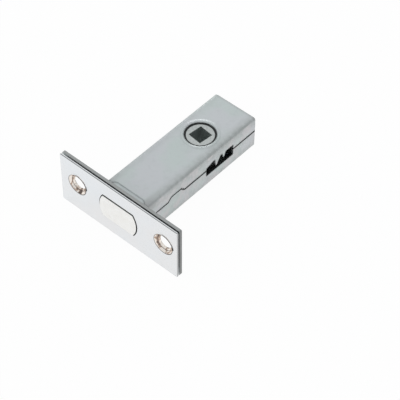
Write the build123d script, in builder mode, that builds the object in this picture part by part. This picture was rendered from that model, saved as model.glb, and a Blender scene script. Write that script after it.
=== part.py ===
"""Tubular privacy bolt for a door.

A flat bolt head slides through a two-plate forend on the door's edge. Behind it a case
pressed from two sheet-steel shells holds the follower, which a square spindle turns by
ninety degrees. The follower's crank pin works in a notch of the tail and slides the bolt.

Frame: X runs along the forend's long side, Y points into the door, and Z is the spindle
axis. The origin is the centre of the forend plate's rear face, which seats on the door.
All sizes are millimetres, and the bolt is drawn back.
"""

from build123d import *
import os
from math import radians, sin, sqrt

# Forend plate and cover plate
forend_length = 57.0
forend_height = 24.0
forend_corner = 0.5
forend_thickness = 1.2
cover_thickness = 0.6
plate_gap = 0.65
cover_edge_break = 0.12

# Screw holes, dished and countersunk through both plates
screw_inset = 7.4
screw_hole_radius = 2.75
dish_radius = 6.9
dish_lip_radius = 6.4
dish_lip_depth = 0.1
dish_depth = 0.7
cone_radius = 4.4
cone_depth = 2.1
cone_wall = 1.3

# Bolt head, a round bar with two flats
bolt_side_clearance = 0.2
bolt_length = 27.0
bolt_stand_out = 0.4
bolt_edge_break = 0.15
bolt_clearance = 0.4

# Case, pressed from two shells
backset = 44.5
case_width = 19.9
case_thickness = 14.8
sheet = 0.8
case_bend = 1.2
case_rear_corner = 0.4
case_inner_corner = 0.3
case_rear_chamfer = 0.3
shoulder_distance = 3.0
recess_half_width = 8.3
recess_length = 4.3
recess_depth = 0.35
recess_corner = 2.5
shoulder_step = 0.9
stake_width = 6.0
stake_height = 0.3
stake_spread = 0.35
neck_fit = 0.05

# Seam between the shells, with a locking tab on each side
seam_height = 0.7
seam_gap = 0.42
tab_distance = 15.85
tab_length = 8.6
tab_slant = 1.8
tab_rise = 1.7

# Window in the side wall, where the crank swings past
window_length = 15.0
window_offset = 0.35
window_top = 3.05
window_bottom = 2.0
window_slant_length = 3.4
window_slant_height = 1.15

# Two teeth that hang from the window's upper edge
tooth_tip_width = 0.7
tooth_lean = 0.4
long_tooth_place = -2.75
long_tooth_width = 3.1
long_tooth_length = 3.3
short_tooth_place = 1.4
short_tooth_width = 1.9
short_tooth_length = 2.2

# Raised collar round each spindle hole
ring_gap = 0.71
collar_lip_width = 0.75
collar_slope_width = 0.6
collar_rise = 0.35
collar_break = 0.2
collar_lip_height = 0.05

# Bearing bushes pressed into the spindle holes
bush_flange_overlap = 0.9
bush_flange_thickness = 0.95
bush_sink = 0.35
bearing_clearance = 0.05

# Follower with its crank
follower_wall = 1.1
follower_face_sink = 0.4
follower_edge_break = 0.15
square_side = 6.2
square_turn = -6.2
half_swing = 45.0
crank_thickness = 3.4
crank_wall_clearance = 0.15
crank_tip_wall = 0.4
crank_pin_radius = 0.8
detent_body_step = 0.75
detent_flat_depth = 0.7
axial_clearance = 0.1

# Tail plate and its rivets
tail_thickness = 1.8
tail_side_clearance = 0.35
tail_tongue_half_width = 6.0
tail_tongue_length = 10.0
tail_corner = 1.0
tail_bar = 2.1
tail_gap = 0.3
tail_slot_clearance = 0.25
notch_clearance = 0.35
rear_clearance = 0.4
rivet_radius = 1.25
rivet_spacing = 5.0
rivet_end_gap = 0.1

# Detent spring, a bent strip
spring_strip = 0.4
spring_height = 2.6
spring_bend = 3.0
spring_side_gap = 0.75
spring_opening = 5.0
spring_contact_gap = 0.03

# Forend places worked out from the sizes above
plates_depth = cover_thickness + plate_gap + forend_thickness
front_face = -plates_depth
forend_front = -forend_thickness
screw_x = forend_length / 2 - screw_inset
hub_y = front_face + backset
window_y = hub_y - window_offset

# Case section and the bolt that fits it
case_top = case_thickness / 2
case_inside_top = case_top - sheet
case_inside_half = case_width / 2 - sheet
neck_thickness = case_thickness - 2 * shoulder_step
opening_half_height = neck_thickness / 2 - sheet
bolt_height = 2 * (opening_half_height - bolt_clearance)
bolt_radius = case_inside_half - bolt_side_clearance
bolt_face = front_face - bolt_stand_out
bolt_rear = bolt_face + bolt_length

# Follower, and the throw that its crank gives
follower_radius = square_side / sqrt(2) + follower_wall
detent_body_radius = follower_radius + detent_body_step
detent_flat_distance = detent_body_radius - detent_flat_depth
crank_tip_radius = crank_pin_radius + crank_tip_wall
crank_radius = case_inside_half - crank_wall_clearance - crank_tip_radius
pin_x = crank_radius * sin(radians(half_swing))
pin_y = hub_y + pin_x
throw = 2 * pin_x

# Collar and bush
case_hole_radius = follower_radius + ring_gap
collar_crest_radius = case_hole_radius + collar_lip_width
collar_foot_radius = collar_crest_radius + collar_slope_width
collar_lip_top = case_top + collar_lip_height
bush_flange_inside = case_inside_top - bush_flange_thickness
follower_half_length = collar_lip_top - follower_face_sink

# Tail plate, and the case's rear that its slot calls for
tail_half_width = case_inside_half - tail_side_clearance
tail_bottom = crank_thickness / 2 + tail_gap
tail_front = bolt_rear - tail_tongue_length
tail_slot_radius = follower_radius + tail_slot_clearance
tail_rear = hub_y + throw + tail_slot_radius + tail_bar
case_rear_inside = tail_rear + rear_clearance
case_rear = case_rear_inside + sheet
case_length = case_rear - front_face


def across(y):
    """Sketch plane square to Y: its x is X and its y is Z."""
    return Plane.XZ.offset(-y)


def bolt_outline(clearance):
    """The bar's section with its two flats, grown by a clearance."""
    radius = bolt_radius + clearance
    Circle(radius)
    Rectangle(2 * radius, bolt_height + 2 * clearance, mode=Mode.INTERSECT)


def case_form(inset, shoulder, rear_corner):
    """The case as a solid block, drawn in by an inset for the hollow inside."""
    width = case_width - 2 * inset
    rear = case_rear - inset
    with BuildPart() as form:
        with BuildSketch(across(shoulder)):
            RectangleRounded(width, case_thickness - 2 * inset, case_bend - inset)
        extrude(amount=shoulder - rear)
        rear_face = form.faces().sort_by(Axis.Y)[-1]
        chamfer(rear_face.edges(), case_rear_chamfer)
        with BuildSketch(across(forend_front)):
            RectangleRounded(width, neck_thickness - 2 * inset, case_bend - inset)
        extrude(amount=forend_front - shoulder)
        with BuildSketch(Plane.XY.offset(-case_top)):
            with Locations((0, rear - case_length)):
                RectangleRounded(width, 2 * case_length, rear_corner)
        extrude(amount=case_thickness, mode=Mode.INTERSECT)
    return form.part


def under_seam():
    """Side view of all that lies under the seam, with the tab that rises above it."""
    tab_start = front_face + tab_distance
    tab_end = tab_start + tab_length
    Polygon(
        (front_face, -case_thickness),
        (case_rear + sheet, -case_thickness),
        (case_rear + sheet, seam_height),
        (tab_end, seam_height),
        (tab_end - tab_slant, seam_height + tab_rise),
        (tab_start + tab_slant, seam_height + tab_rise),
        (tab_start, seam_height),
        (front_face, seam_height),
        align=None,
    )


def window_tooth(place, width, length):
    """Side view of a tooth that narrows downwards from the window's upper edge."""
    start = window_y + place
    Polygon(
        (start, window_top + sheet),
        (start, window_top),
        (start + tooth_lean, window_top - length),
        (start + tooth_lean + tooth_tip_width, window_top - length),
        (start + width, window_top),
        (start + width, window_top + sheet),
        align=None,
    )


def dimple_back():
    """Half section of the cover plate's dimple, solid to its axis."""
    rim = cone_radius + dish_depth + cone_wall
    Polygon((0, 0), (rim, 0), (rim - plates_depth, plates_depth), (0, plates_depth), align=None)


# Cover plate with dished screw holes
with BuildPart() as cover_plate:
    with BuildSketch(across(front_face)):
        RectangleRounded(forend_length, forend_height, forend_corner)
    extrude(amount=-cover_thickness)
    for side in (-1, 1):
        hole_axis = Axis((side * screw_x, 0, 0), (0, 1, 0))
        with BuildSketch(Plane((side * screw_x, front_face, 0))):
            dimple_back()
        revolve(axis=hole_axis)
        with BuildSketch(Plane((side * screw_x, front_face, 0))):
            Polygon(
                (0, 0),
                (dish_radius, 0),
                (dish_lip_radius, dish_lip_depth),
                (cone_radius, dish_depth),
                (screw_hole_radius, cone_depth),
                (screw_hole_radius, plates_depth),
                (0, plates_depth),
                align=None,
            )
        revolve(axis=hole_axis, mode=Mode.SUBTRACT)
    with BuildSketch(across(front_face)):
        bolt_outline(bolt_clearance)
    extrude(amount=-cover_thickness, mode=Mode.SUBTRACT)
    cover_rim = cover_plate.faces().sort_by(Axis.Y)[0].outer_wire().edges()
    chamfer(cover_rim, cover_edge_break)

# Forend plate behind it, which carries the case
with BuildPart() as forend_plate:
    with BuildSketch(across(forend_front)):
        RectangleRounded(forend_length, forend_height, forend_corner)
        RectangleRounded(
            case_width + 2 * neck_fit,
            neck_thickness + 2 * neck_fit,
            case_bend + neck_fit,
            mode=Mode.SUBTRACT,
        )
    extrude(amount=-forend_thickness)
    for side in (-1, 1):
        with BuildSketch(Plane((side * screw_x, front_face, 0))):
            dimple_back()
        revolve(axis=Axis((side * screw_x, 0, 0), (0, 1, 0)), mode=Mode.SUBTRACT)

# The case before it is parted into shells
with BuildPart() as case:
    add(case_form(0, shoulder_distance, case_rear_corner))
    for side in (-1, 1):
        with BuildSketch(Plane.XY.offset(side * (case_top - recess_depth))):
            RectangleRounded(2 * recess_half_width, 2 * recess_length, recess_corner)
        extrude(amount=side * recess_depth, mode=Mode.SUBTRACT)
    add(case_form(sheet, recess_length + sheet, case_inner_corner), mode=Mode.SUBTRACT)
    with BuildSketch(across(forend_front)):
        stake_thickness = sheet + stake_spread
        for side in (-1, 1):
            with Locations((0, side * (opening_half_height + stake_thickness / 2))):
                Rectangle(stake_width, stake_thickness)
    extrude(amount=stake_height)
    with BuildSketch(Plane.YZ):
        Polygon(
            (window_y - window_length / 2, -window_bottom),
            (window_y + window_length / 2, -window_bottom),
            (window_y + window_length / 2, window_top),
            (window_y - window_length / 2 + window_slant_length, window_top),
            (window_y - window_length / 2, window_top - window_slant_height),
            align=None,
        )
    extrude(amount=case_width, mode=Mode.SUBTRACT)
    with BuildSketch(Plane.XY.offset(-case_thickness)):
        with Locations((0, hub_y)):
            Circle(collar_foot_radius)
    extrude(amount=2 * case_thickness, mode=Mode.SUBTRACT)
    with BuildSketch(across(hub_y)):
        with BuildLine():
            Polyline(
                (collar_foot_radius, case_inside_top),
                (collar_foot_radius, case_top),
                (collar_crest_radius, case_top + collar_rise),
                (case_hole_radius, collar_lip_top),
                (case_hole_radius, collar_lip_top - sheet),
                (collar_crest_radius, case_inside_top + collar_rise),
                close=True,
            )
        make_face()
        mirror(about=Plane.XZ)
    revolve(axis=Axis((0, hub_y, 0), (0, 0, 1)))
    crests = case.edges().filter_by(GeomType.CIRCLE)
    crests = crests.filter_by(lambda edge: abs(edge.radius - collar_crest_radius) < 0.001)
    crests = crests.sort_by(Axis.Z)
    chamfer([crests[0], crests[-1]], collar_break)

# Upper shell, cut away under the seam
with BuildPart() as upper_shell:
    add(case.part)
    with BuildSketch(Plane.YZ.offset(-case_width)):
        under_seam()
        offset(amount=seam_gap, kind=Kind.INTERSECTION, mode=Mode.REPLACE)
    extrude(amount=2 * case_width, mode=Mode.SUBTRACT)
    with BuildSketch(Plane.YZ.offset(case_inside_half)):
        window_tooth(long_tooth_place, long_tooth_width, long_tooth_length)
        window_tooth(short_tooth_place, short_tooth_width, short_tooth_length)
    extrude(amount=sheet)

# Lower shell, which keeps what lies under the seam
with BuildPart() as lower_shell:
    add(case.part)
    with BuildSketch(Plane.YZ.offset(-case_width)):
        under_seam()
    extrude(amount=2 * case_width, mode=Mode.INTERSECT)

# Bushes that carry the follower, one under each collar
with BuildPart() as upper_bush:
    with BuildSketch(Plane.XY.offset(bush_flange_inside)):
        with Locations((0, hub_y)):
            Circle(case_hole_radius + bush_flange_overlap)
    extrude(amount=bush_flange_thickness)
    with BuildSketch(Plane.XY.offset(bush_flange_inside)):
        with Locations((0, hub_y)):
            Circle(case_hole_radius)
    extrude(amount=collar_lip_top - bush_sink - bush_flange_inside)
    with BuildSketch(Plane.XY.offset(bush_flange_inside)):
        with Locations((0, hub_y)):
            Circle(follower_radius + bearing_clearance)
    extrude(amount=case_thickness, mode=Mode.SUBTRACT)

with BuildPart() as lower_bush:
    add(mirror(upper_bush.part, about=Plane.XY, mode=Mode.PRIVATE))

# Bolt head with a slot for the tail
with BuildPart() as bolt_head:
    with BuildSketch(across(bolt_face)):
        bolt_outline(0)
    extrude(amount=-bolt_length)
    chamfer(bolt_head.faces().sort_by(Axis.Y)[0].edges(), bolt_edge_break)
    with BuildSketch(Plane.XY.offset(tail_bottom)):
        with Locations((0, bolt_rear - tail_tongue_length / 2)):
            Rectangle(2 * bolt_radius, tail_tongue_length)
    extrude(amount=tail_thickness, mode=Mode.SUBTRACT)
    with BuildSketch(Plane.XY.offset(-bolt_height / 2)):
        with Locations((0, bolt_rear - tail_tongue_length / 2)):
            with GridLocations(rivet_spacing, 0, 2, 1):
                Circle(rivet_radius)
    extrude(amount=bolt_height, mode=Mode.SUBTRACT)

# Tail plate, slotted round the follower and notched for the crank pin
with BuildPart() as bolt_tail:
    with BuildSketch(Plane.XY.offset(tail_bottom)) as tail_sketch:
        tail_body_front = bolt_rear + tail_gap
        tail_body_length = tail_rear - tail_body_front
        with Locations((0, tail_body_front + tail_body_length / 2)):
            RectangleRounded(2 * tail_half_width, tail_body_length, tail_corner)
        with Locations((0, (tail_front + hub_y) / 2)):
            Rectangle(2 * tail_tongue_half_width, hub_y - tail_front)
        with Locations((0, hub_y + throw / 2)):
            SlotCenterToCenter(throw, 2 * tail_slot_radius, rotation=90, mode=Mode.SUBTRACT)
        with Locations((pin_x + tail_half_width / 2, pin_y)):
            Rectangle(tail_half_width + 2 * crank_pin_radius,
                      2 * (crank_pin_radius + notch_clearance), mode=Mode.SUBTRACT)
    extrude(amount=tail_thickness)
    with BuildSketch(Plane.XY.offset(tail_bottom)):
        with Locations((0, bolt_rear - tail_tongue_length / 2)):
            with GridLocations(rivet_spacing, 0, 2, 1):
                Circle(rivet_radius)
    extrude(amount=tail_thickness, mode=Mode.SUBTRACT)

with BuildPart() as tail_rivets:
    with BuildSketch(Plane.XY.offset(-bolt_height / 2 + rivet_end_gap)):
        with Locations((0, bolt_rear - tail_tongue_length / 2)):
            with GridLocations(rivet_spacing, 0, 2, 1):
                Circle(rivet_radius)
    extrude(amount=bolt_height - 2 * rivet_end_gap)

# Follower: square socket, crank and detent flats in one piece
with BuildPart() as follower:
    with BuildSketch(Plane.XY.offset(-follower_half_length)):
        with Locations((0, hub_y)):
            Circle(follower_radius)
    extrude(amount=2 * follower_half_length)
    end_faces = follower.faces().filter_by(Axis.Z)
    chamfer(end_faces.edges(), follower_edge_break)
    with BuildSketch(Plane.XY.offset(-bush_flange_inside + axial_clearance)):
        with Locations((0, hub_y)):
            Circle(detent_body_radius)
        with Locations((detent_body_radius - detent_flat_distance,
                        hub_y - detent_body_radius + detent_flat_distance)):
            Rectangle(2 * detent_body_radius, 2 * detent_body_radius, mode=Mode.INTERSECT)
    extrude(amount=bush_flange_inside - axial_clearance - crank_thickness / 2)
    with BuildSketch(Plane.XY.offset(-crank_thickness / 2)):
        with Locations((0, hub_y)):
            Circle(detent_body_radius)
        with Locations((pin_x, pin_y)):
            Circle(crank_tip_radius)
        make_hull()
        with Locations((pin_x, pin_y)):
            Circle(crank_pin_radius, mode=Mode.SUBTRACT)
    extrude(amount=crank_thickness)
    with BuildSketch(Plane.XY.offset(-case_thickness)):
        with Locations(Location((0, hub_y), square_turn)):
            Rectangle(square_side, square_side)
    extrude(amount=2 * case_thickness, mode=Mode.SUBTRACT)

with BuildPart() as crank_pin:
    with BuildSketch(Plane.XY.offset(-crank_thickness / 2)):
        with Locations((pin_x, pin_y)):
            Circle(crank_pin_radius)
    extrude(amount=crank_thickness / 2 + tail_bottom + tail_thickness + tail_gap)

# Detent spring, a strip bent to a C between the rear wall and the follower's flat
with BuildPart() as detent_spring:
    spring_half_width = case_inside_half - spring_side_gap
    spring_front = hub_y + detent_flat_distance + spring_contact_gap
    spring_depth = case_rear_inside - spring_front
    with BuildSketch(Plane.XY.offset(-bush_flange_inside)):
        with Locations((0, spring_front + spring_depth / 2)):
            RectangleRounded(2 * spring_half_width, spring_depth, spring_bend)
            RectangleRounded(2 * (spring_half_width - spring_strip), spring_depth - 2 * spring_strip,
                             spring_bend - spring_strip, mode=Mode.SUBTRACT)
        with Locations((-spring_half_width, spring_front + spring_depth / 2)):
            Rectangle(spring_opening, spring_depth - 2 * spring_strip, mode=Mode.SUBTRACT)
    extrude(amount=spring_height)

pieces = {
    "cover_plate": cover_plate,
    "forend_plate": forend_plate,
    "upper_shell": upper_shell,
    "lower_shell": lower_shell,
    "upper_bush": upper_bush,
    "lower_bush": lower_bush,
    "bolt_head": bolt_head,
    "bolt_tail": bolt_tail,
    "tail_rivets": tail_rivets,
    "follower": follower,
    "crank_pin": crank_pin,
    "detent_spring": detent_spring,
}

os.makedirs("parts", exist_ok=True)
for name, piece in pieces.items():
    piece.part.label = name
    export_step(piece.part, f"parts/{name}.step")
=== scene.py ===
# %% [markdown]
# A tubular privacy bolt, as it comes out of its packet
# The real thing is a slim box of plated sheet steel behind a bright face plate. A flat bolt slides
# through the plate, and a small cast wheel with a square hole drives it. Every metal piece already
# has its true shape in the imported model, so this lesson is about finish: how plating, casting and
# polish are built up from procedural nodes, and how a plain bright studio makes them readable.

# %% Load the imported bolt
import math

import bpy
from mathutils import Matrix, Vector


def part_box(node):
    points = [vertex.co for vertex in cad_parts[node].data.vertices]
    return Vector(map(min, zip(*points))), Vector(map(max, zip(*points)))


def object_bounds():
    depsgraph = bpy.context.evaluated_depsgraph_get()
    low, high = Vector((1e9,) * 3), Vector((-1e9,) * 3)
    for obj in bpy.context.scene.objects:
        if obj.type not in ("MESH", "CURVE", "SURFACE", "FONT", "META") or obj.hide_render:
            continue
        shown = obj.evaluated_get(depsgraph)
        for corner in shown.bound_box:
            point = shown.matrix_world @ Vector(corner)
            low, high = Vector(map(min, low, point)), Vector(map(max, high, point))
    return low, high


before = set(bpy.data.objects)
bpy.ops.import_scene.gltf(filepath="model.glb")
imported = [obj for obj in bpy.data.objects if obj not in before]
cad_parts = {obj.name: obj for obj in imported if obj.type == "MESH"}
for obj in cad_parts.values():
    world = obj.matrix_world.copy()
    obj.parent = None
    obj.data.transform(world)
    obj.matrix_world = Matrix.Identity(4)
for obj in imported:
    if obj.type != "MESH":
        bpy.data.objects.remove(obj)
bolt_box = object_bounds()
print("pieces loaded:", ", ".join(sorted(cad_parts)))

# %% [markdown]
# Measure before placing anything
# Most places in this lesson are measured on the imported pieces. They could all be typed in as
# numbers, but then more of the finish would drift off its piece when the bolt is made in another
# size. The face plate gives the front and the line of the screws, the upper shell gives the sides
# and rear of the case, and the follower gives the spindle's axis. Only details that no box shows,
# such as the seam and the screw cones, are given as lengths.

# %% Measure the pieces
millimetre = 0.001
screw_inset = 7.4 * millimetre  # from the plate's end to the middle of a screw hole

plate_low, plate_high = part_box("cover_plate")
shell_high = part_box("upper_shell")[1]
follower_low, follower_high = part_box("follower")
spindle = (follower_low + follower_high) / 2
plate_length = plate_high.x - plate_low.x
screw_x = plate_length / 2 - screw_inset
print("face plate", round(plate_length / millimetre, 1), "mm long, spindle axis at y",
      round(spindle.y / millimetre, 2), "mm")

# %% [markdown]
# A pale floor under the bolt
# The bolt lies on the lower edge of its face plate, so the floor passes through that edge. One
# large flat plane is enough: a curved backdrop would put a change of tone behind the bolt, and
# this one runs out of the picture on every side.

# %% Floor
floor_size = 6.0

bpy.ops.mesh.primitive_plane_add(size=floor_size, location=(0, 0, plate_low.z))
floor = bpy.context.object
floor.name = "studio_floor"
print("floor at z", round(plate_low.z / millimetre, 2), "mm")

# %% [markdown]
# Sums between nodes
# A material works out each point's colour with small sums. A Math node multiplies or subtracts, a
# Mix Shader blends two surfaces, and each could be wired by hand at four lines a time. One short
# function for each kind keeps the recipes readable, and lets a term of a sum be a plain number or
# another node's output.


# %% Node sums
def reckon(tree, operation, *terms):
    """One sum in a node tree. Each term is a number or another node's output."""
    node = tree.nodes.new("ShaderNodeMath")
    node.operation = operation
    for socket, term in zip(node.inputs, terms):
        if isinstance(term, float):
            socket.default_value = term
        else:
            tree.links.new(term, socket)
    return node.outputs[0]


def blended(tree, share, first, second):
    """One shader passing into another by a share from 0 to 1."""
    mix = tree.nodes.new("ShaderNodeMixShader")
    for socket, entry in zip(mix.inputs, (share, first, second)):
        tree.links.new(entry, socket)
    return mix.outputs[0]


print("ready: reckon, blended")

# %% [markdown]
# White paper that still takes a shadow
# A plain diffuse floor is only as bright as the lamps make it, and a cut-out product shot needs it
# white. More light would bleach the metal, so the white comes from the floor itself: part of what
# the camera, and any mirror-like metal, sees is a steady glow, and the rest is ordinary paint,
# which still takes the bolt's shadow.

# %% Floor finish
glow_seen = 0.96
glow_mirrored = 0.71
floor_paint = (0.93, 0.93, 0.93, 1.0)
pure_white = (1.0, 1.0, 1.0, 1.0)

floor_finish = bpy.data.materials.new("studio_floor")
floor_finish.use_nodes = True
tree = floor_finish.node_tree
tree.nodes.clear()
paint = tree.nodes.new("ShaderNodeBsdfDiffuse")
paint.inputs["Color"].default_value = floor_paint
glow = tree.nodes.new("ShaderNodeEmission")
glow.inputs["Color"].default_value = pure_white
ray = tree.nodes.new("ShaderNodeLightPath")
seen = reckon(tree, "MULTIPLY", ray.outputs["Is Camera Ray"], glow_seen)
mirrored = reckon(tree, "MULTIPLY", ray.outputs["Is Glossy Ray"], glow_mirrored)
share = reckon(tree, "MAXIMUM", seen, mirrored)
paper = blended(tree, share, paint.outputs[0], glow.outputs[0])
out = tree.nodes.new("ShaderNodeOutputMaterial")
tree.links.new(paper, out.inputs["Surface"])
floor.data.materials.append(floor_finish)
print("floor glows", glow_seen, "to the camera and", glow_mirrored, "in mirrors")

# %% [markdown]
# Soft steps
# Light and plating pass gradually from one tone to the next. A colour ramp could do that, but it
# hides its marks inside the node. Map Range with its smooth step takes them as plain numbers. What
# it maps is often one coordinate of a place or a direction, so Separate XYZ gets a helper as well.


# %% Soft steps
def spread(tree, value, low, high, start=0.0, end=1.0):
    """Maps a value from a low and high mark onto a new range, with soft ends."""
    change = tree.nodes.new("ShaderNodeMapRange")
    change.interpolation_type = "SMOOTHSTEP"
    change.inputs["From Min"].default_value = low
    change.inputs["From Max"].default_value = high
    change.inputs["To Min"].default_value = start
    change.inputs["To Max"].default_value = end
    tree.links.new(value, change.inputs["Value"])
    return change.outputs["Result"]


def parted(tree, vector):
    """The X, Y and Z of a place or direction, as three outputs."""
    parts = tree.nodes.new("ShaderNodeSeparateXYZ")
    tree.links.new(vector, parts.inputs[0])
    return parts.outputs


print("ready: spread, parted")

# %% [markdown]
# The room that the metal mirrors
# Plated metal has hardly any colour of its own: it shows the room. A photograph of a studio could
# stand in for one, but a sky of two tones is easier to steer. It is a calm grey overhead and
# darker in a band above the horizon, so each face of the case takes a tone of its own.

# %% Room tones
overhead_grey = 0.83
horizon_grey = 0.74
horizon_band = 0.62  # height of the darker band, where straight up is 1

world = bpy.data.worlds.new("studio_room")
bpy.context.scene.world = world
world.use_nodes = True
tree = world.node_tree
tree.nodes.clear()
direction = tree.nodes.new("ShaderNodeTexCoord").outputs["Generated"]
up = parted(tree, direction)["Z"]
height_tone = spread(tree, up, 0.0, horizon_band, horizon_grey, overhead_grey)
print("sky runs from", horizon_grey, "at the horizon to", overhead_grey, "overhead")

# %% [markdown]
# A dark card for the long bend
# Photographers draw the edges of bright metal by standing a dark card where the edge mirrors it.
# This one is beyond the rear right corner, so the long bend of the case shows it as a soft dark
# line between two bright faces. It is painted into the sky, because a real card would also show
# in the picture and throw a shadow. A dot product tells how near each direction is to the card's.


# %% Dark card
def towards(tree, vector, direction):
    """How far a place or a ray runs along a fixed direction."""
    product = tree.nodes.new("ShaderNodeVectorMath")
    product.operation = "DOT_PRODUCT"
    product.inputs[1].default_value = direction
    tree.links.new(vector, product.inputs[0])
    return product.outputs["Value"]


card_direction = Vector((0.80, 0.55, 0.20)).normalized()
card_edge = 0.45  # where its shade begins and is full, as the cosine from its middle
card_core = 0.97
card_darkness = 0.80

facing_card = towards(tree, direction, card_direction)
card_tone = spread(tree, facing_card, card_edge, card_core, 1.0, card_darkness)
sky_light = reckon(tree, "MULTIPLY", height_tone, card_tone)
print("card darkens the sky to", card_darkness, "at its middle")

# %% [markdown]
# White past the floor
# The camera sees a little of the room beyond the floor's edge in low views. A shot on white paper
# needs that white as well, and turning up the sky would flood the metal. The camera's own rays
# therefore get plain white, and all other rays get the grey room.

# %% Backdrop
room_tint = (0.97, 0.99, 1.0, 1.0)

room = tree.nodes.new("ShaderNodeBackground")
room.inputs["Color"].default_value = room_tint
tree.links.new(sky_light, room.inputs["Strength"])
white = tree.nodes.new("ShaderNodeBackground")
white.inputs["Color"].default_value = pure_white
white.inputs["Strength"].default_value = 1.0
ray = tree.nodes.new("ShaderNodeLightPath")
view = blended(tree, ray.outputs["Is Camera Ray"], room.outputs[0], white.outputs[0])
out = tree.nodes.new("ShaderNodeOutputWorld")
tree.links.new(view, out.inputs["Surface"])
print("room tint", room_tint[:3])

# %% [markdown]
# Two soft lamps
# One lamp stands low behind the bolt on the left, where the far lip of the collar and the flat of
# the case mirror it. The other hangs in front on the right, and fills the screw dishes and the
# bolt's end. Spot lamps would burn hard points into metal, so both are squares that are large for
# their distance, and both are weak, because the room already carries most of the light.


# %% Lamps
def soft_lamp(name, place, aim, width, power):
    """A square area lamp at a place, turned towards a point."""
    data = bpy.data.lights.new(name, "AREA")
    data.size = width
    data.energy = power
    lamp = bpy.data.objects.new(name, data)
    bpy.context.collection.objects.link(lamp)
    lamp.location = place
    lamp.rotation_euler = (Vector(aim) - Vector(place)).to_track_quat("-Z", "Y").to_euler()
    return lamp


middle = (bolt_box[0] + bolt_box[1]) / 2
soft_lamp("rear_lamp", place=(-0.80, 0.95, 0.36), aim=middle, width=0.45, power=1.4)
soft_lamp("front_lamp", place=(0.45, -0.80, 0.75), aim=middle, width=0.60, power=1.0)
print("two lamps aimed at", [round(c / millimetre, 1) for c in middle])

# %% [markdown]
# Stand where the photographer stood
# The view is a product shot from above the right front corner through a long lens, which keeps the
# plate's long edges nearly parallel. A camera could be dragged into place by eye. Here direction,
# roll and distance are written as they would be measured in a studio, and the place and the axes
# of the camera are worked out from them.

# %% Camera place
view_azimuth = math.radians(40.78)
view_elevation = math.radians(48.63)
view_roll = math.radians(-0.81)
view_distance = 548.18 * millimetre
aim_right = 29.34 * millimetre
aim_down = -5.43 * millimetre

back = Vector((
    math.sin(view_azimuth) * math.cos(view_elevation),
    -math.cos(view_azimuth) * math.cos(view_elevation),
    math.sin(view_elevation),
))
ahead = -back
level_right = ahead.cross(Vector((0, 0, 1))).normalized()
level_down = ahead.cross(level_right)
right = math.cos(view_roll) * level_right + math.sin(view_roll) * level_down
down = -math.sin(view_roll) * level_right + math.cos(view_roll) * level_down
face_centre = Vector((0, plate_low.y, 0))
eye = face_centre + aim_right * right + aim_down * down - view_distance * ahead
print("camera at", [round(c, 4) for c in eye])

# %% [markdown]
# The camera itself
# A lens of 138 mm on a full-frame sensor flattens the bolt as in a catalogue. Turning the camera
# with angles would invite mistakes about their order, so its matrix takes the three axes from the
# last step as they are. The plain Standard view shows each colour about as it is written.

# %% Camera
lens_length = 137.72
sensor_width = 36.0
nearest_seen = 0.01
farthest_seen = 20.0

camera_data = bpy.data.cameras.new("product_camera")
camera_data.lens = lens_length
camera_data.sensor_width = sensor_width
camera_data.clip_start = nearest_seen
camera_data.clip_end = farthest_seen
camera = bpy.data.objects.new("product_camera", camera_data)
bpy.context.collection.objects.link(camera)
axes = Matrix((right, -down, back)).transposed().to_4x4()
camera.matrix_world = Matrix.Translation(eye) @ axes
bpy.context.scene.camera = camera
bpy.context.scene.view_settings.view_transform = "Standard"
print("lens", lens_length, "mm, sensor", sensor_width, "mm")

# %% [markdown]
# Start every finish from bare metal
# Each finish starts as one metallic surface, and gains three kinds of detail: a slow drift of
# tint, as plating has where the bath ran thick or thin; a gloss that wanders with handling; and
# edges that are worn brighter. The patterns could follow an unwrapped map, but then their size
# would change from piece to piece. Object coordinates here are the bolt's own true measures, so a
# grain is as fine on a rivet as on the case.


# %% Bare finish
def new_finish(name, metallic, roughness):
    """A node material with one principled surface, and the bolt's own coordinates."""
    finish = bpy.data.materials.new(name)
    finish.use_nodes = True
    nodes = finish.node_tree.nodes
    surface = nodes["Principled BSDF"]
    surface.inputs["Metallic"].default_value = metallic
    surface.inputs["Roughness"].default_value = roughness
    place = nodes.new("ShaderNodeTexCoord")
    return finish, finish.node_tree, surface, place.outputs["Object"]


def dress(finish, *nodes):
    """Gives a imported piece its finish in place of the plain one."""
    for node in nodes:
        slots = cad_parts[node].data.materials
        slots.clear()
        slots.append(finish)
    print(finish.name, "on", ", ".join(nodes))


print("ready: new_finish, dress")

# %% [markdown]
# Patches and streaks
# Plating, casting and polishing all leave marks with no pattern, which is what noise gives. Its
# size is said in metres, so it can be set against the real marks. Marks that run one way, such as
# brushing, are the same noise on stretched coordinates, which needs no second kind of pattern.


# %% Noise
def stretched(tree, place, x, y, z):
    """Coordinates stretched by a factor each way, for marks that run in one direction."""
    stretch = tree.nodes.new("ShaderNodeMapping")
    stretch.inputs["Scale"].default_value = (x, y, z)
    tree.links.new(place, stretch.inputs["Vector"])
    return stretch.outputs["Vector"]


def clouds(tree, place, size, detail=3.0, distortion=0.0):
    """Soft noise whose patches are about this size in metres, from 0 to 1."""
    noise = tree.nodes.new("ShaderNodeTexNoise")
    noise.inputs["Scale"].default_value = 1.0 / size
    noise.inputs["Detail"].default_value = detail
    noise.inputs["Distortion"].default_value = distortion
    tree.links.new(place, noise.inputs["Vector"])
    return noise.outputs["Fac"]


print("ready: stretched, clouds")

# %% [markdown]
# Colours laid over each other
# A finish is built like paint, in layers: each one covers what is below by a share from 0 to 1.
# Two shares multiplied keep a layer to the places where both hold, such as a stain that lies only
# on the sides. Drawing such masks by hand would tie them to one size of the bolt.


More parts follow.
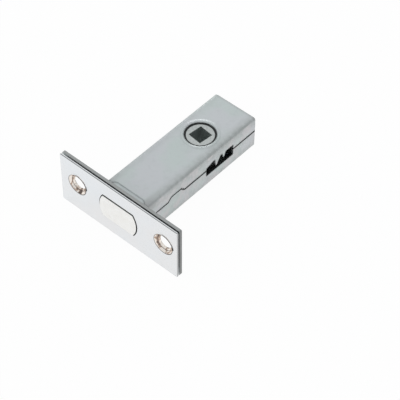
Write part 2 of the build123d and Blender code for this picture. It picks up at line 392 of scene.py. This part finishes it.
# %% Layers
def tint(tree, share, first, second):
    """One colour or socket passing into another by a share from 0 to 1."""
    mix = tree.nodes.new("ShaderNodeMix")
    mix.data_type = "RGBA"
    tree.links.new(share, mix.inputs["Factor"])
    for socket, colour in (("A", first), ("B", second)):
        entry = next(i for i in mix.inputs if i.name == socket and i.type == "RGBA")
        if isinstance(colour, tuple):
            entry.default_value = (*colour, 1.0)
        else:
            tree.links.new(colour, entry)
    return next(o for o in mix.outputs if o.type == "RGBA")


def both(tree, first, second):
    """The product of two shares, which is 1 only where both are."""
    return reckon(tree, "MULTIPLY", first, second)


print("ready: tint, both")

# %% [markdown]
# Shares by place
# A rim or a band is a place on the bolt, so its share comes from coordinates: whether a point
# lies inside an outline, or between two depths. Separate pieces for such places would need joints
# in the mesh that the real sheet doesn't have.


# %% Places
def within(tree, place, limits, softness):
    """1 where a point lies inside the limits in X and Z on both sides of the middle, else 0."""
    parts = parted(tree, place)
    shares = []
    for axis, limit in (("X", limits.x), ("Z", limits.z)):
        reach = reckon(tree, "ABSOLUTE", parts[axis])
        low, high = limit - softness / 2, limit + softness / 2
        shares.append(spread(tree, reach, low, high, 1.0, 0.0))
    return both(tree, shares[0], shares[1])


def at_depth(tree, place, first, last, start=0.0, end=1.0):
    """Passes from one value to another between two depths into the door."""
    return spread(tree, parted(tree, place)["Y"], first, last, start, end)


print("ready: within, at_depth")

# %% [markdown]
# Distances
# The seam is a line at one height, and the spindle and the screws are axes. How far a point lies
# from them is one number, and a soft step turns it into a share. A gradient texture could give the
# same, but it would have to be moved and scaled to the place first.


# %% Distances
def from_value(tree, socket, mark):
    """How far a socket's value is from a mark, either way."""
    return reckon(tree, "ABSOLUTE", reckon(tree, "SUBTRACT", socket, mark))


def from_axis(tree, first, second):
    """How far a point is from an axis, given its two offsets as sockets."""
    flat = tree.nodes.new("ShaderNodeCombineXYZ")
    tree.links.new(first, flat.inputs["X"])
    tree.links.new(second, flat.inputs["Y"])
    length = tree.nodes.new("ShaderNodeVectorMath")
    length.operation = "LENGTH"
    tree.links.new(flat.outputs[0], length.inputs[0])
    return length.outputs["Value"]


print("ready: from_value, from_axis")

# %% [markdown]
# Shares by face
# Some marks lie only on the sides of the case, and others only on its flats. The faces could be
# picked by number, but the numbers change with the mesh. The true normal says where each face
# looks without naming a single one.

# %% Faces
side_lean, square_lean = 0.3, 0.5


def facing(tree, axis, turned=0.0, square=1.0):
    """How squarely a face looks along an axis: one value edge on, the other face on."""
    outward = tree.nodes.new("ShaderNodeNewGeometry")
    normal = parted(tree, outward.outputs["True Normal"])
    lean = reckon(tree, "ABSOLUTE", normal[axis])
    return spread(tree, lean, side_lean, square_lean, turned, square)


print("ready: facing")

# %% [markdown]
# Worn and shaded edges
# Handling wears plating bright along every sharp edge. The Bevel node finds them: it rounds the
# normal close to an edge, and how far that leans from the true normal is the share. The same share
# also lays painted shadow on the seam's lips. A real bevel on every edge would change the shape of
# the solids.

# %% Edges
edge_lean, flat_lean = 0.80, 0.995


def sharp_edge_share(tree, width):
    """1 on the bolt's sharp edges and 0 on its flats, from how far a rounded normal leans."""
    rounded = tree.nodes.new("ShaderNodeBevel")
    rounded.inputs["Radius"].default_value = width
    true_face = tree.nodes.new("ShaderNodeNewGeometry")
    lean = tree.nodes.new("ShaderNodeVectorMath")
    lean.operation = "DOT_PRODUCT"
    tree.links.new(rounded.outputs["Normal"], lean.inputs[0])
    tree.links.new(true_face.outputs["Normal"], lean.inputs[1])
    return spread(tree, lean.outputs["Value"], edge_lean, flat_lean, 1.0, 0.0)


print("ready: sharp_edge_share")

# %% [markdown]
# Gloss and ripple
# No metal surface is equally smooth all over, and none has perfectly sharp edges. The first
# helper lets the roughness wander after a pattern. The second raises fine bumps and rounds the
# edges in the light. Both act on the shading only, because bumps of a few thousandths of a
# millimetre in the mesh would cost millions of faces.

# %% Gloss and ripple
gloss_cut = (0.3, 0.7)  # the part of a pattern that the roughness follows


def wander(tree, surface, pattern, smoothest, dullest):
    """Lets the roughness pass between two values after a pattern."""
    roughness = spread(tree, pattern, *gloss_cut, smoothest, dullest)
    tree.links.new(roughness, surface.inputs["Roughness"])


def rippled(tree, surface, height, depth, edge_width):
    """Bumps the surface by a height from 0 to 1 and rounds off its edges in the light."""
    rounded = tree.nodes.new("ShaderNodeBevel")
    rounded.inputs["Radius"].default_value = edge_width
    bump = tree.nodes.new("ShaderNodeBump")
    bump.inputs["Strength"].default_value = 1.0
    bump.inputs["Distance"].default_value = depth
    tree.links.new(height, bump.inputs["Height"])
    tree.links.new(rounded.outputs["Normal"], bump.inputs["Normal"])
    tree.links.new(bump.outputs["Normal"], surface.inputs["Normal"])


print("ready: wander, rippled")

# %% [markdown]
# Zinc plate on pressed sheet
# The case is pressed from thin strip and barrel plated: a soft grey that leans towards green in
# one place and lilac in another, with small dark spots and edges that the barrel has rubbed
# bright. A brushed look would be wrong, so all three patterns are equal in every direction.

# %% Zinc plate colour
zinc_green = (0.545, 0.598, 0.588)
zinc_lilac = (0.570, 0.588, 0.606)
zinc_dark = (0.39, 0.42, 0.42)
zinc_bright = (0.64, 0.665, 0.66)
drift_cut = (0.35, 0.65)  # the part of the noise over which a tint passes into the next
drift_size = 11.0 * millimetre
spot_size = 1.6 * millimetre
spot_cut = (0.48, 0.75)
spot_strength = 0.14
worn_width = 0.18 * millimetre

zinc, tree, surface, place = new_finish("zinc_plate", metallic=1.0, roughness=0.36)
drift = spread(tree, clouds(tree, place, drift_size), *drift_cut)
base = tint(tree, drift, zinc_green, zinc_lilac)
spots = clouds(tree, place, spot_size, detail=5.0, distortion=0.6)
base = tint(tree, spread(tree, spots, *spot_cut, 0.0, spot_strength), base, zinc_dark)
base = tint(tree, sharp_edge_share(tree, worn_width), base, zinc_bright)
print("zinc drifts over", drift_size / millimetre, "mm, spots of", spot_size / millimetre, "mm")

# %% [markdown]
# Find the long bends
# The case has four long round bends, which get a painted shade for the dark of the room that they
# mirror. The mask measures how far a point is from the line where a flat and a side would meet, so
# it is the same for the upper and the lower half, and it is fainter on the left, where the bend
# mirrors more of the room. Selecting the bend's faces would give it a hard edge.

# %% Bend mask
case_top = 7.4 * millimetre  # from the middle of the case to its flat
bend_reach = 4.4 * millimetre
bend_start = 0.1  # the share of that reach over which the band is full
# share of the painted bend shade on the left side
left_bend_shade = 0.45


def bend_shade_mask(tree, place, corner, reach):
    """Painted shade on the case's long bends: up to 1 on the right and fainter on the left, 0
    beyond this reach.
    """
    parts = parted(tree, place)
    offsets = []
    for axis, far in (("Z", corner.z), ("X", corner.x)):
        folded = reckon(tree, "ABSOLUTE", parts[axis])
        offsets.append(reckon(tree, "SUBTRACT", folded, far))
    band = spread(tree, from_axis(tree, *offsets), reach * bend_start, reach, 1.0, 0.0)
    side = spread(tree, parts["X"], -corner.x / 2, corner.x / 2, left_bend_shade, 1.0)
    return both(tree, band, side)


# where the painted bend shade lies
corner = Vector((shell_high.x, 0, case_top))
bends = bend_shade_mask(tree, place, corner, bend_reach)
print("bends within", bend_reach / millimetre, "mm of the case's corners")

# %% [markdown]
# Painted shade on the bends, mottled
# The bends get a painted shade: darker bands, where they mirror the dark of the room, with uneven
# patches. An even band would look like paint, so the mask is thinned by a noise of a few
# millimetres before it lets the painted shade through.

# %% Bends
# colour of the painted shade on the bends
painted_bend_shade = (0.43, 0.455, 0.45)
mottle_size = 2.2 * millimetre
mottle_least = 0.55

mottle = clouds(tree, place, mottle_size, detail=5.0, distortion=0.4)
mottle = spread(tree, mottle, *drift_cut, mottle_least, 1.0)
# painted shade on the bends, broken up by the mottle
base = tint(tree, both(tree, bends, mottle), base, painted_bend_shade)
print("bends mottled in patches of", round(mottle_size / millimetre, 1), "mm")

# %% [markdown]
# Painted shade by the forend, and a darker rear rim
# Close to the forend plate, the case gets a darker and warmer grey: a painted shade, where the
# forend shades it. The rear rim of the flats turns the same darker, warmer grey. It follows the
# depth into the door, and by the forend mostly the bends, which saves painting a second map.

# %% Warm ends
warm_grey = (0.37, 0.37, 0.375)
forend_shade = 13.0 * millimetre
bent_cut = (0.0, 0.6)
flat_share, bent_share = 0.16, 0.85
rear_band = 1.6 * millimetre
rear_rim = 0.2 * millimetre
rear_share = 0.40

# painted shade close to the forend plate, strongest on the bends
by_forend = at_depth(tree, place, 0.0, forend_shade, 1.0, 0.0)
bent = spread(tree, bends, *bent_cut, flat_share, bent_share)
base = tint(tree, both(tree, by_forend, bent), base, warm_grey)
# darker and warmer towards the rear rim of the flats
rear_end = shell_high.y
by_rear = at_depth(tree, place, rear_end - rear_band, rear_end - rear_rim, 0.0, rear_share)
base = tint(tree, both(tree, by_rear, facing(tree, "Z")), base, warm_grey)
print("warm shade to", forend_shade / millimetre, "mm, and the last", rear_band / millimetre, "mm")

# %% [markdown]
# Marks on the sides
# The sides slid against other cases in the plating barrel. They carry warm patches, a few specks
# rubbed down to bright metal, and stains that run up and down. One noise could make all three,
# but then they would fall in the same places, so each has a noise of its own size.

# %% Side marks
zinc_warm = (0.605, 0.590, 0.600)
rubbed_bright = (0.88, 0.89, 0.89)
blush_size, blush_cut, blush_share = 4.5 * millimetre, (0.45, 0.62), 0.75
speck_size, speck_cut, speck_share = 0.9 * millimetre, (0.71, 0.79), 0.6
stain_size, stain_cut, stain_share = 1.2 * millimetre, (0.45, 0.70), 0.32
stain_run = 0.4  # below 1, so that the stains are longer in Z

on_sides = facing(tree, "Z", turned=1.0, square=0.0)
blush = clouds(tree, place, blush_size, detail=2.0)
blush = spread(tree, blush, *blush_cut, 0.0, blush_share)
base = tint(tree, both(tree, on_sides, blush), base, zinc_warm)
specks = clouds(tree, place, speck_size, detail=1.0)
specks = spread(tree, specks, *speck_cut, 0.0, speck_share)
base = tint(tree, both(tree, on_sides, specks), base, rubbed_bright)
runs = stretched(tree, place, 1.0, 1.0, stain_run)
stains = clouds(tree, runs, stain_size, detail=5.0, distortion=0.5)
stains = spread(tree, stains, *stain_cut, 0.0, stain_share)
base = tint(tree, both(tree, on_sides, stains), base, zinc_dark)
print("side marks of", ", ".join(str(round(size / millimetre, 1))
                                 for size in (blush_size, speck_size, stain_size)), "mm")

# %% [markdown]
# Dull inside, painted shadow on the lips
# The bath hardly reaches the inside of the case, so the sheet there is dull and darker than its
# outer face. The lips where the two halves meet get a painted shadow, because no light reaches
# into the gap between them. Both masks are boxes in X and Z: one just inside the outer skin, the
# other a band at half height.

# %% Inside and lips
inside_grime = (0.34, 0.37, 0.36)
# colour of the painted shadow in and beside the seam's gap
seam_shadow = (0.035, 0.038, 0.038)
sheet = 0.8 * millimetre
skin = 0.8 * sheet
zone_edge = 0.1 * millimetre
lip_reach = 0.80 * millimetre

inside = within(tree, place, corner - skin * Vector((1, 0, 1)), zone_edge)
base = tint(tree, inside, base, inside_grime)
lip_top = case_top - 3 * sheet
middle_band = within(tree, place, Vector((shell_high.x + sheet, 0, lip_top)), zone_edge)
# painted shadow on the lips at half height
base = tint(tree, both(tree, middle_band, facing(tree, "Z")), base, seam_shadow)
base = tint(tree, both(tree, middle_band, sharp_edge_share(tree, lip_reach)), base, seam_shadow)
print("grime inside a skin of", round(skin / millimetre, 2), "mm")

# %% [markdown]
# The seam line
# The halves meet a little above the middle in a line that looks almost black, because no light
# gets into so narrow a gap. The gap itself is in the solids. Rounded edges in the shading would
# wash its lips out, so a thin band of painted shadow lies over them. It stops at the side window
# and starts behind the locking tab.

# %% Seam line
seam_height = 0.7 * millimetre
seam_full, seam_gone = 0.27 * millimetre, 0.38 * millimetre
seam_share = 0.85
window_middle = spindle.y - 0.35 * millimetre
window_half, window_clear = 7.5 * millimetre, 7.7 * millimetre
tab_end, tab_clear = 22.0 * millimetre, 22.4 * millimetre

parts = parted(tree, place)
from_seam = from_value(tree, parts["Z"], seam_height)
seam_line = spread(tree, from_seam, seam_full, seam_gone, 1.0, 0.0)
from_window = from_value(tree, parts["Y"], window_middle)
off_window = spread(tree, from_window, window_half, window_clear)
past_tab = at_depth(tree, place, tab_end, tab_clear, 0.0, seam_share)
seam_line = both(tree, seam_line, both(tree, off_window, past_tab))
# painted shadow along the seam line
base = tint(tree, seam_line, base, seam_shadow)
print("seam at z", seam_height / millimetre, "mm, window middle at y",
      round(window_middle / millimetre, 2), "mm")

# %% [markdown]
# Zinc plate, put together
# Plating that has been dipped has a fine, sandy tooth, so the light on it is soft but not
# blurred. The shading rounds the edges by nearly a millimetre, far more than on the other pieces,
# because drawing the sheet rounds them. Inside, the surface is made less metallic, since a film of
# dirt scatters light as paint does.

# %% Zinc plate finish
inside_metal = 0.3
zinc_gloss_size = 6.0 * millimetre
zinc_gloss = (0.33, 0.43)
tooth_size = 0.9 * millimetre
tooth_depth = 0.012 * millimetre
bend_softness = 0.9 * millimetre

metal = spread(tree, inside, 0.0, 1.0, 1.0, inside_metal)
tree.links.new(metal, surface.inputs["Metallic"])
tree.links.new(base, surface.inputs["Base Color"])
wander(tree, surface, clouds(tree, place, zinc_gloss_size), *zinc_gloss)
tooth = clouds(tree, place, tooth_size, detail=5.0)
rippled(tree, surface, tooth, tooth_depth, bend_softness)
dress(zinc, "upper_shell", "lower_shell")

# %% [markdown]
# The plate that carries the case
# It is plated in the same bath as the case, so it drifts between the same two tints. It could
# share the case's finish, but it has no bends and no seam, and its patches are a little smaller,
# so it gets a simpler one of its own.

# %% Forend plate colour
strip_drift_size = 9.0 * millimetre

strip, tree, surface, place = new_finish("zinc_strip", metallic=1.0, roughness=0.38)
drift = spread(tree, clouds(tree, place, strip_drift_size), *drift_cut)
base = tint(tree, drift, zinc_green, zinc_lilac)
print("strip drifts over", strip_drift_size / millimetre, "mm")

# %% [markdown]
# Sheared rim
# The plate is cropped from flat strip, and the shears leave its rim a dull grey band of torn
# steel. The two short ends, which face along the forend, are darker still. The rim could be a
# second material on chosen faces. Here it is told apart by how near a point lies to the plate's
# outline, so it follows the plate at any size.

# %% Forend plate finish
end_zinc = (0.245, 0.248, 0.245)
sheared_steel = (0.37, 0.372, 0.365)
rim_width = 0.12 * millimetre
tear_size, tear_cut, tear_share = 1.2 * millimetre, (0.35, 0.7), 0.5
tear_across = 6.0  # above 1, so that the tears are short in Y
strip_gloss_size, strip_gloss = 5.0 * millimetre, (0.33, 0.45)
strip_depth = 0.008 * millimetre
strip_softness = 0.15 * millimetre

strip_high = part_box("forend_plate")[1]
faces = within(tree, place, strip_high - rim_width * Vector((1, 0, 1)), rim_width)
torn = clouds(tree, stretched(tree, place, 1.0, tear_across, 1.0), tear_size)
torn = spread(tree, torn, *tear_cut, 0.0, tear_share)
rim = tint(tree, torn, sheared_steel, zinc_dark)
rim = tint(tree, facing(tree, "X"), rim, end_zinc)
base = tint(tree, faces, rim, base)
tree.links.new(base, surface.inputs["Base Color"])
wander(tree, surface, clouds(tree, place, strip_gloss_size), *strip_gloss)
tooth = clouds(tree, place, tooth_size, detail=5.0)
rippled(tree, surface, tooth, strip_depth, strip_softness)
dress(strip, "forend_plate")

# %% [markdown]
# Bright face plate
# The plate is stamped from strip, then plated and polished, so it mirrors the room softly. Pure
# white metal would look like paper beside the floor, so the colour is a little below white, and
# drifts between a cool and a neutral tone over a few centimetres.

# %% Polished face
polish_cool = (0.84, 0.865, 0.89)
polish_neutral = (0.865, 0.865, 0.87)
polish_drift_size = 22.0 * millimetre

polish, tree, surface, place = new_finish("face_plate_polish", metallic=1.0, roughness=0.16)
drift = spread(tree, clouds(tree, place, polish_drift_size), *drift_cut)
base = tint(tree, drift, polish_cool, polish_neutral)
print("face polish drifts over", polish_drift_size / millimetre, "mm")

# %% [markdown]
# Rolled edge and bright rim
# The stamping rolls the plate's front edge over, and the dark side of the room that the roll
# mirrors is painted on it as a thin dark line, a painted reflection. Behind it the rim is bright
# again, and the two short ends are a middle grey. The line lies at a depth from the front, so the
# depth into the door picks it out, which needs no extra loop of faces.

# %% Plate rim
# colour of the painted reflection on the rolled edge
painted_roll_line = (0.20, 0.205, 0.21)
bright_rim = (0.84, 0.85, 0.86)
end_steel = (0.50, 0.505, 0.51)
edge_width = 0.14 * millimetre
roll_depth = 0.26 * millimetre
roll_fade = 0.1 * millimetre

plate_corner = Vector((plate_high.x, 0, plate_high.z))
flat_face = within(tree, place, plate_corner - edge_width * Vector((1, 0, 1)), edge_width / 2)
roll_end = plate_low.y + roll_depth
past_roll = at_depth(tree, place, roll_end - roll_fade, roll_end)
# painted reflection in front, bright rim behind
rim = tint(tree, past_roll, painted_roll_line, bright_rim)
rim = tint(tree, facing(tree, "X"), rim, end_steel)
base = tint(tree, flat_face, rim, base)
print("rolled edge", roll_depth / millimetre, "mm deep")

# %% [markdown]
# Find the screw dishes
# The finish of the screw dishes goes round each screw's axis. Folding X over the middle makes both
# dishes one, and the distance and angle from the axis then serve as coordinates for it. Rings and
# arcs made from plain X and Z would need far more nodes.


# %% Round the screws
def about_screw(tree, place):
    """Distance from the nearer screw's axis, coordinates that wrap round it, and the offset."""
    parts = parted(tree, place)
    folded = reckon(tree, "ABSOLUTE", parts["X"])
    along = reckon(tree, "SUBTRACT", folded, screw_x)
    reach = from_axis(tree, along, parts["Z"])
    turn = reckon(tree, "ARCTAN2", parts["Z"], along)
    around = tree.nodes.new("ShaderNodeCombineXYZ")
    tree.links.new(reach, around.inputs["X"])
    tree.links.new(turn, around.inputs["Y"])
    tree.links.new(parts["X"], around.inputs["Z"])
    outward = reckon(tree, "MULTIPLY", along, reckon(tree, "SIGN", parts["X"]))
    offset = tree.nodes.new("ShaderNodeCombineXYZ")
    tree.links.new(outward, offset.inputs["X"])
    tree.links.new(parts["Z"], offset.inputs["Z"])
    return reach, around.outputs[0], offset.outputs[0]


reach, around, offset = about_screw(tree, place)
print("screws", round(2 * screw_x / millimetre, 1), "mm apart")

# %% [markdown]
# Shade on the lip of the cone
# Each screw sits in a shallow dish with a steep cone in its middle. The lip between the two
# mirrors the dark of the hole as a black crescent, widest at the upper right and gone on the left.
# The solids have both slopes, but so small a mirror needs a darker room than this one to turn
# black. The crescent is therefore laid in as a dull layer: neither metal nor glossy, so that it
# stays dark in any light.

# %% Lip shade
lip_shadow = (0.04, 0.043, 0.045)
cone_edge = 4.4 * millimetre  # from the screw's axis to where dish and cone meet
line_width = 0.16 * millimetre
overhang = Vector((0.62, 0.0, 0.78))
wide_from = 0.55  # as a share of the cone's radius, towards the overhang
lip_narrow, lip_wide = 0.25 * millimetre, 1.1 * millimetre
shaded_side = Vector((0.98, 0.0, 0.20))
shade_from, shade_full = -0.35, 0.55  # as shares of the cone's radius

over = towards(tree, offset, overhang)
lip_width = spread(tree, over, wide_from * cone_edge, cone_edge, lip_narrow, lip_wide)
past_lip = reckon(tree, "SUBTRACT", reach, lip_width)
lip = spread(tree, past_lip, cone_edge - line_width, cone_edge, 1.0, 0.0)
lip = both(tree, lip, spread(tree, reach, cone_edge - line_width, cone_edge))
side = towards(tree, offset, shaded_side)
lip = both(tree, lip, spread(tree, side, shade_from * cone_edge, shade_full * cone_edge))
base = tint(tree, lip, base, lip_shadow)
tree.links.new(spread(tree, lip, 0.0, 1.0, 1.0, 0.0), surface.inputs["Metallic"])
surface.inputs["Specular IOR Level"].default_value = 0.0
print("lip shade", lip_narrow / millimetre, "to", lip_wide / millimetre, "mm wide")

# %% [markdown]
# Warm cones
# Inside the cone the pressing has stretched the plating, and a cream and bronze layer shows in
# arcs that run part of the way round. The cream is partly painted highlight, and darker arcs over
# it are painted shade. Plain noise would give blots. On the wrapped coordinates its patches are
# longer round the axis than across the cone, and with X as the third coordinate the two cones
# differ. Thin lines in the painted shade's colour draw the cone's edge and a mark that the punch
# leaves in it.

# %% Dish cones
# cream of the cone, partly painted highlight
cone_cream_and_highlight = (0.94, 0.87, 0.80)
cone_bronze = (0.50, 0.37, 0.29)
# colour of the painted shade in the cone and of its thin lines
cone_shadow = (0.15, 0.12, 0.11)
punch_mark = 3.4 * millimetre
arc_stretch = (0.9, 0.0017, 0.55)  # across the cone, per radian round it, and along X
arc_size = 1.2 * millimetre
bronze_cut, shadow_cut = (0.49, 0.58), (0.59, 0.66)

in_cone = spread(tree, reach, cone_edge - line_width, cone_edge, 1.0, 0.0)
arcs = clouds(tree, stretched(tree, around, *arc_stretch), arc_size, detail=2.0, distortion=0.4)
cone = tint(tree, spread(tree, arcs, *bronze_cut), cone_cream_and_highlight, cone_bronze)
# dark arcs of painted shade
cone = tint(tree, spread(tree, arcs, *shadow_cut), cone, cone_shadow)
base = tint(tree, in_cone, base, cone)
for ring in (cone_edge, punch_mark):
    inner = spread(tree, reach, ring - line_width, ring)
    outer = spread(tree, reach, ring, ring + line_width, 1.0, 0.0)
    base = tint(tree, both(tree, inner, outer), base, cone_shadow)
print("cone to", cone_edge / millimetre, "mm from the axis, mark at", punch_mark / millimetre, "mm")

# %% [markdown]
# Polishing lines
# The wheel runs along the plate, and leaves faint lines that differ only in gloss. They are noise
# that is squeezed in Z, and they go into the roughness alone, because as bumps they would break
# up the mirrored room. The bumps are one slow wave instead, as thin sheet is never quite flat.

# %% Face plate finish
line_squeeze = 14.0
line_size = 10.0 * millimetre
face_gloss = (0.13, 0.21)
wave_size, wave_depth = 5.0 * millimetre, 0.006 * millimetre
plate_softness = 0.12 * millimetre

tree.links.new(base, surface.inputs["Base Color"])
lines = clouds(tree, stretched(tree, place, 1.0, 1.0, line_squeeze), line_size, detail=6.0)
wander(tree, surface, lines, *face_gloss)
rippled(tree, surface, clouds(tree, place, wave_size), wave_depth, plate_softness)
dress(polish, "cover_plate")

# %% [markdown]
# Satin bolt
# The bolt is a solid bar, nickel plated and lightly brushed. Nickel is warmer than chrome, and in
# the photograph the bolt's end shows as a creamy white beside the bluish plate. The end is
# polished, while the sides, which slide in the forend, keep the darker grey of drawn bar. A mask
# by the face's direction tells them apart, so one finish serves for the whole bar.

# %% Bolt finish
nickel_cream = (0.945, 0.940, 0.920)
nickel_deep = (0.925, 0.915, 0.890)
drawn_nickel = (0.60, 0.595, 0.575)
brush_squeeze = 6.0
brush_size = 14.0 * millimetre
bolt_gloss = (0.22, 0.27)
brush_depth = 0.0003 * millimetre
bolt_softness = 0.15 * millimetre

nickel, tree, surface, place = new_finish("satin_nickel", metallic=1.0, roughness=0.24)
lengthwise = stretched(tree, place, brush_squeeze, 1.0, brush_squeeze)
brushing = clouds(tree, lengthwise, brush_size, detail=3.0)
polished_end = tint(tree, spread(tree, brushing, *drift_cut), nickel_cream, nickel_deep)
base = tint(tree, facing(tree, "Y"), drawn_nickel, polished_end)
tree.links.new(base, surface.inputs["Base Color"])
wander(tree, surface, brushing, *bolt_gloss)
rippled(tree, surface, brushing, brush_depth, bolt_softness)
dress(nickel, "bolt_head")

# %% [markdown]
# Cast follower
# The small wheel with the square hole is die-cast in zinc alloy and left as cast: a dull, even
# grey with a slightly pebbled skin. Fine noise gives the skin both its bumps and its dark pits, so
# that the two agree, and the worn edge is a shade brighter.

# %% Cast skin
cast_grey = (0.53, 0.555, 0.545)
cast_dark = (0.30, 0.32, 0.315)
cast_bright = (0.72, 0.74, 0.73)
pebble_size, pebble_cut, pebble_share = 0.7 * millimetre, (0.45, 0.75), 0.5
cast_worn = 0.12 * millimetre

cast, tree, surface, place = new_finish("cast_zinc", metallic=0.9, roughness=0.48)
pebbles = clouds(tree, place, pebble_size, detail=4.0)
pits = spread(tree, pebbles, *pebble_cut, 0.0, pebble_share)
base = tint(tree, pits, cast_grey, cast_dark)
base = tint(tree, sharp_edge_share(tree, cast_worn), base, cast_bright)
print("cast skin with pebbles of", round(pebble_size / millimetre, 1), "mm")

# %% [markdown]
# The dark square
# Inside the square it is darker: a painted shade, where little light gets in, over the dry surface
# that the die leaves. The walls are the faces near the spindle's axis that don't look along it, so
# the two shares together find them, whichever way the follower is turned.

# %% Follower finish
# colour of the painted shade on the walls of the square
socket_shade = (0.34, 0.38, 0.37)
socket_reach = 4.6 * millimetre
socket_fade = 0.2 * millimetre
cast_gloss_size, cast_gloss = 2.0 * millimetre, (0.42, 0.55)
pebble_depth = 0.020 * millimetre
cast_softness = 0.15 * millimetre

parts = parted(tree, place)
inward = reckon(tree, "SUBTRACT", parts["Y"], spindle.y)
from_spindle = from_axis(tree, parts["X"], inward)
near_axis = spread(tree, from_spindle, socket_reach - socket_fade, socket_reach, 1.0, 0.0)
socket = tint(tree, facing(tree, "Z"), socket_shade, base)
base = tint(tree, near_axis, base, socket)
tree.links.new(base, surface.inputs["Base Color"])
wander(tree, surface, clouds(tree, place, cast_gloss_size), *cast_gloss)
rippled(tree, surface, pebbles, pebble_depth, cast_softness)
dress(cast, "follower")

# %% [markdown]
# Plain steel inside
# The tail plate, its rivets and the crank's pin are hardly seen once the bolt is in a door. They
# are plain steel with a film of oil: darker than the plated case, streaked along the strip's
# rolling direction. One finish for all three saves nodes, and suits parts from the same shop.

# %% Steel finish
steel_grey = (0.42, 0.43, 0.44)
steel_dark = (0.25, 0.25, 0.255)
steel_bright = (0.66, 0.67, 0.68)
rolling_squeeze = 12.0
rolling_size, rolling_cut = 9.0 * millimetre, (0.4, 0.7)
rolling_depth = 0.005 * millimetre
steel_worn = 0.15 * millimetre
steel_gloss = (0.28, 0.42)
steel_softness = 0.12 * millimetre

steel, tree, surface, place = new_finish("oiled_steel", metallic=1.0, roughness=0.34)
lengthwise = stretched(tree, place, rolling_squeeze, 1.0, rolling_squeeze)
rolling = clouds(tree, lengthwise, rolling_size, detail=5.0)
base = tint(tree, spread(tree, rolling, *rolling_cut), steel_grey, steel_dark)
base = tint(tree, sharp_edge_share(tree, steel_worn), base, steel_bright)
tree.links.new(base, surface.inputs["Base Color"])
wander(tree, surface, rolling, *steel_gloss)
rippled(tree, surface, rolling, rolling_depth, steel_softness)
dress(steel, "bolt_tail", "tail_rivets", "crank_pin")

# %% [markdown]
# Blued spring
# The detent spring is a strip of hardened steel, tempered to a dark blue. Its temper colours vary
# along the strip from blue towards straw, as the heat did. A ramp along the strip would be too
# tidy, so broad patches of noise choose between the two.

# %% Spring finish
temper_blue = (0.14, 0.18, 0.26)
temper_straw = (0.34, 0.28, 0.20)
temper_size, temper_cut, temper_share = 4.0 * millimetre, (0.45, 0.75), 0.6
spring_gloss_size, spring_gloss = 1.5 * millimetre, (0.25, 0.38)
scale_size, scale_depth = 0.8 * millimetre, 0.004 * millimetre
spring_softness = 0.10 * millimetre

spring, tree, surface, place = new_finish("blued_spring", metallic=1.0, roughness=0.30)
temper = spread(tree, clouds(tree, place, temper_size), *temper_cut, 0.0, temper_share)
base = tint(tree, temper, temper_blue, temper_straw)
tree.links.new(base, surface.inputs["Base Color"])
wander(tree, surface, clouds(tree, place, spring_gloss_size), *spring_gloss)
rippled(tree, surface, clouds(tree, place, scale_size), scale_depth, spring_softness)
dress(spring, "detent_spring")

# %% [markdown]
# Black bearing bushes
# Each end of the follower runs in a black acetal ring, which is what draws the dark circle in the
# photograph. Moulded acetal has a low, waxy sheen and a very fine grain. It is no metal, so its
# reflections are weak and white, and its colour is kept just above black to leave room for them.

# %% Bush finish
acetal_black = (0.012, 0.013, 0.013)
acetal_worn = (0.035, 0.036, 0.036)
acetal_sheen = 0.25
scuff_size, scuff_cut = 1.5 * millimetre, (0.45, 0.75)
bush_gloss_size, bush_gloss = 0.8 * millimetre, (0.38, 0.55)
grain_size, grain_depth = 0.3 * millimetre, 0.004 * millimetre
bush_softness = 0.10 * millimetre

acetal, tree, surface, place = new_finish("black_acetal", metallic=0.0, roughness=0.45)
surface.inputs["Specular IOR Level"].default_value = acetal_sheen
scuffs = spread(tree, clouds(tree, place, scuff_size), *scuff_cut)
base = tint(tree, scuffs, acetal_black, acetal_worn)
tree.links.new(base, surface.inputs["Base Color"])
wander(tree, surface, clouds(tree, place, bush_gloss_size), *bush_gloss)
rippled(tree, surface, clouds(tree, place, grain_size), grain_depth, bush_softness)
dress(acetal, "upper_bush", "lower_bush")
